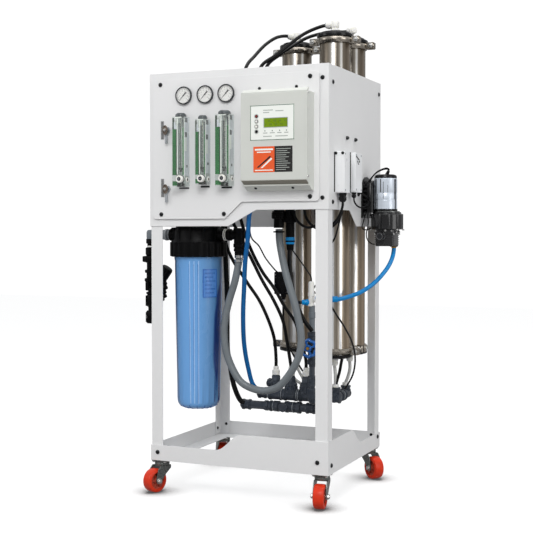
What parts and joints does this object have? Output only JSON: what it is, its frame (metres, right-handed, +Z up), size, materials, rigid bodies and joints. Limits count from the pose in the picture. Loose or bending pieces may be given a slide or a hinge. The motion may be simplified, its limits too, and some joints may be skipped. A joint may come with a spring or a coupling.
{
  "type": "reverse osmosis unit",
  "caption": "Wheeled sheet-metal frame with a control cabinet, blue pre-filter, upright membrane vessels, pumps, valves and hoses.",
  "frame": {"origin": "on the floor, under the middle of the whole unit's bounding box", "axes": "+Z up, +X to the right when facing the control plate, +Y from the control plate to the back"},
  "size_m": [0.8171, 0.6083, 1.488],
  "materials": {
    "powder_white": "satin white powder coat",
    "gauge_steel": "polished bezel",
    "needle_black": "matt black",
    "clear_acrylic": "clear moulded acrylic with a green back stripe",
    "float_black": "black",
    "knob_white": "white moulded",
    "fitting_grey": "light grey",
    "enclosure_grey": "light grey fine texture",
    "circuit_board": "green solder mask",
    "keypad_rubber": "black rubber",
    "filter_black": "black polypropylene",
    "sump_blue": "semi-gloss blue polypropylene",
    "cartridge_white": "pleated white media",
    "stainless": "polished stainless tube",
    "rack_steel": "zinc plated",
    "pump_black": "black moulded",
    "motor_silver": "silver grey",
    "box_white": "white",
    "pvc_grey": "dark grey threaded fittings",
    "handwheel_blue": "blue",
    "hose_grey": "grey reinforced hose",
    "tube_blue": "blue polyethylene tube",
    "caster_zinc": "zinc plated steel",
    "wheel_orange": "orange-red polyurethane"
  },
  "bodies": {
    "frame": {"base_tray": "powder_white", "post_front_left": "powder_white", "post_front_right": "powder_white", "post_rear_right": "powder_white", "post_rear_left": "powder_white", "cabinet_front_panel": "powder_white", "cabinet_right_panel": "powder_white", "cabinet_left_panel": "powder_white", "cabinet_rear_panel": "powder_white", "control_plate": "powder_white", "pressure_gauge_1": "gauge_steel", "pressure_gauge_2": "gauge_steel", "pressure_gauge_3": "gauge_steel", "flowmeter_1": "clear_acrylic", "flowmeter_2": "clear_acrylic", "flowmeter_3": "clear_acrylic", "sample_valve_1": "fitting_grey", "sample_valve_2": "fitting_grey", "controller_box": "enclosure_grey", "control_board": "circuit_board", "filter_head": "filter_black", "inlet_assembly": "filter_black", "membrane_vessel_1": "stainless", "membrane_vessel_2": "stainless", "membrane_vessel_3": "stainless", "vessel_rack": "rack_steel", "booster_pump": "pump_black", "side_pump_mount": "pump_black", "side_pump_motor": "motor_silver", "side_pump_head": "pump_black", "power_box_1": "box_white", "power_box_2": "box_white", "throttle_valve": "pvc_grey", "lower_manifold": "pvc_grey", "feed_hose": "hose_grey", "side_pump_tube": "tube_blue"},
    "controller_lid": {"controller_lid": "enclosure_grey"},
    "keypad": {"controller_keypad": "keypad_rubber"},
    "filter_sump": {"filter_sump": "sump_blue", "filter_cartridge": "cartridge_white"},
    "throttle_handwheel": {"throttle_handwheel": "handwheel_blue"},
    "gauge_needle_1": {"gauge_needle_1": "needle_black"},
    "flowmeter_float_1": {"flowmeter_float_1": "float_black"},
    "flowmeter_knob_1": {"flowmeter_knob_1": "knob_white"},
    "gauge_needle_2": {"gauge_needle_2": "needle_black"},
    "flowmeter_float_2": {"flowmeter_float_2": "float_black"},
    "flowmeter_knob_2": {"flowmeter_knob_2": "knob_white"},
    "gauge_needle_3": {"gauge_needle_3": "needle_black"},
    "flowmeter_float_3": {"flowmeter_float_3": "float_black"},
    "flowmeter_knob_3": {"flowmeter_knob_3": "knob_white"},
    "sample_lever_1": {"sample_valve_lever_1": "knob_white"},
    "sample_lever_2": {"sample_valve_lever_2": "knob_white"},
    "caster_fork_front_left": {"caster_fork_front_left": "caster_zinc"},
    "caster_wheel_front_left": {"caster_wheel_front_left": "wheel_orange"},
    "caster_fork_front_right": {"caster_fork_front_right": "caster_zinc"},
    "caster_wheel_front_right": {"caster_wheel_front_right": "wheel_orange"},
    "caster_fork_rear_left": {"caster_fork_rear_left": "caster_zinc"},
    "caster_wheel_rear_left": {"caster_wheel_rear_left": "wheel_orange"},
    "caster_fork_rear_right": {"caster_fork_rear_right": "caster_zinc"},
    "caster_wheel_rear_right": {"caster_wheel_rear_right": "wheel_orange"}
  },
  "joints": [
    {"name": "controller_lid_hinge", "type": "hinge", "parent": "frame", "child": "controller_lid", "pos_m": [0.023, -0.2882, 1.12], "axis": [0, 0, -1], "range_deg": [0, 115]},
    {"name": "keypad_press", "type": "slide", "parent": "controller_lid", "child": "keypad", "axis": [0, 1, 0], "range_m": [0, 0.0008], "stiffness_N_per_m": 300},
    {"name": "gauge_needle_1_turn", "type": "hinge", "parent": "frame", "child": "gauge_needle_1", "pos_m": [-0.1974, -0.2504, 1.267], "axis": [0, 1, 0], "range_deg": [0, 270]},
    {"name": "gauge_needle_2_turn", "type": "hinge", "parent": "frame", "child": "gauge_needle_2", "pos_m": [-0.1224, -0.2504, 1.267], "axis": [0, 1, 0], "range_deg": [0, 270]},
    {"name": "gauge_needle_3_turn", "type": "hinge", "parent": "frame", "child": "gauge_needle_3", "pos_m": [-0.0499, -0.2504, 1.267], "axis": [0, 1, 0], "range_deg": [0, 270]},
    {"name": "flowmeter_float_1_rise", "type": "slide", "parent": "frame", "child": "flowmeter_float_1", "axis": [0, 0, 1], "range_m": [0, 0.151]},
    {"name": "flowmeter_knob_1_turn", "type": "hinge", "parent": "frame", "child": "flowmeter_knob_1", "pos_m": [-0.1914, -0.2844, 1.003], "axis": [0, -1, 0], "range_deg": [-360, 1080]},
    {"name": "flowmeter_float_2_rise", "type": "slide", "parent": "frame", "child": "flowmeter_float_2", "axis": [0, 0, 1], "range_m": [0, 0.141]},
    {"name": "flowmeter_knob_2_turn", "type": "hinge", "parent": "frame", "child": "flowmeter_knob_2", "pos_m": [-0.1174, -0.2844, 1.003], "axis": [0, -1, 0], "range_deg": [-360, 1080]},
    {"name": "flowmeter_float_3_rise", "type": "slide", "parent": "frame", "child": "flowmeter_float_3", "axis": [0, 0, 1], "range_m": [0, 0.153]},
    {"name": "flowmeter_knob_3_turn", "type": "hinge", "parent": "frame", "child": "flowmeter_knob_3", "pos_m": [-0.0444, -0.2844, 1.003], "axis": [0, -1, 0], "range_deg": [-360, 1080]},
    {"name": "sample_lever_1_turn", "type": "hinge", "parent": "frame", "child": "sample_lever_1", "pos_m": [-0.2574, -0.2614, 1.16], "axis": [0, -1, 0], "range_deg": [0, 90]},
    {"name": "sample_lever_2_turn", "type": "hinge", "parent": "frame", "child": "sample_lever_2", "pos_m": [-0.2574, -0.2614, 0.974], "axis": [0, -1, 0], "range_deg": [0, 90]},
    {"name": "sump_unscrew", "type": "hinge", "parent": "frame", "child": "filter_sump", "pos_m": [-0.2054, -0.1326, 0.5], "axis": [0, 0, -1], "range_deg": [0, 1080]},
    {"name": "throttle_turn", "type": "hinge", "parent": "frame", "child": "throttle_handwheel", "pos_m": [0.1456, -0.0456, 0.464], "axis": [0, -1, 0], "range_deg": [-720, 1080]},
    {"name": "caster_swivel_front_left", "type": "hinge", "parent": "frame", "child": "caster_fork_front_left", "pos_m": [-0.2984, -0.2106, 0.09], "axis": [0, 0, 1], "continuous": true},
    {"name": "caster_roll_front_left", "type": "hinge", "parent": "caster_fork_front_left", "child": "caster_wheel_front_left", "pos_m": [-0.30934, -0.24067, 0.038], "axis": [0.9397, -0.342, 0], "continuous": true},
    {"name": "caster_swivel_front_right", "type": "hinge", "parent": "frame", "child": "caster_fork_front_right", "pos_m": [0.2536, -0.2046, 0.09], "axis": [0, 0, 1], "continuous": true},
    {"name": "caster_roll_front_right", "type": "hinge", "parent": "caster_fork_front_right", "child": "caster_wheel_front_right", "pos_m": [0.25861, -0.23621, 0.038], "axis": [0.9877, 0.1564, 0], "continuous": true},
    {"name": "caster_swivel_rear_left", "type": "hinge", "parent": "frame", "child": "caster_fork_rear_left", "pos_m": [-0.2954, 0.2414, 0.09], "axis": [0, 0, 1], "continuous": true},
    {"name": "caster_roll_rear_left", "type": "hinge", "parent": "caster_fork_rear_left", "child": "caster_wheel_rear_left", "pos_m": [-0.31421, 0.26729, 0.038], "axis": [-0.809, -0.5878, 0], "continuous": true},
    {"name": "caster_swivel_rear_right", "type": "hinge", "parent": "frame", "child": "caster_fork_rear_right", "pos_m": [0.2546, 0.2454, 0.09], "axis": [0, 0, 1], "continuous": true},
    {"name": "caster_roll_rear_right", "type": "hinge", "parent": "caster_fork_rear_right", "child": "caster_wheel_rear_right", "pos_m": [0.27982, 0.2257, 0.038], "axis": [0.6157, 0.788, 0], "continuous": true}
  ]
}
